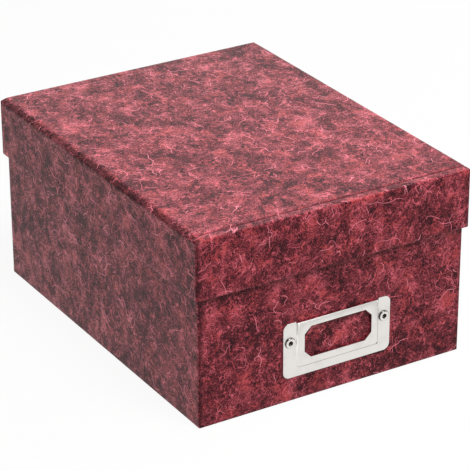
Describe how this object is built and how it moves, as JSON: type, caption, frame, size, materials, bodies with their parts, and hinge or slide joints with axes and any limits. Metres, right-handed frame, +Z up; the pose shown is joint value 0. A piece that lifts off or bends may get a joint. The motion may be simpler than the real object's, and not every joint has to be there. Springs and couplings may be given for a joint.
{
  "type": "photo storage box",
  "caption": "Paper-covered rigid storage box for photo prints, with a deep lift-off lid and a riveted metal label holder on the front.",
  "frame": {"origin": "on the floor under the middle of the lid", "axes": "+Z up, +Y from the front end with the label holder to the rear end, +X to the right seen from the front"},
  "size_m": [0.197, 0.254, 0.127],
  "materials": {
    "fibre_paper": "varnished red paper, mottled with charcoal and strewn with pale curled fibres",
    "greyboard": "raw greyboard",
    "gummed_tape": "brown gummed kraft tape",
    "lining_paper": "uncoated off-white paper",
    "foot_paper": "uncoated black paper",
    "nickel_plate": "satin nickel plate on stamped steel",
    "rivet_nickel": "bright nickel plate"
  },
  "bodies": {
    "base": {"base_floor_board": "greyboard", "base_front_board": "greyboard", "base_rear_board": "greyboard", "base_left_board": "greyboard", "base_right_board": "greyboard", "base_corner_tapes": "gummed_tape", "base_covering": "fibre_paper", "base_foot_sheet": "foot_paper", "base_wall_lining": "lining_paper", "base_floor_lining": "lining_paper", "label_holder": "nickel_plate", "holder_left_rivet": "rivet_nickel", "holder_right_rivet": "rivet_nickel"},
    "lid": {"lid_top_board": "greyboard", "lid_front_board": "greyboard", "lid_rear_board": "greyboard", "lid_left_board": "greyboard", "lid_right_board": "greyboard", "lid_corner_tapes": "gummed_tape", "lid_covering": "fibre_paper", "lid_lining": "lining_paper"}
  },
  "joints": [
    {"name": "lid_lift", "type": "slide", "parent": "base", "child": "lid", "axis": [0, 0, 1], "range_m": [0, 0.2]}
  ]
}
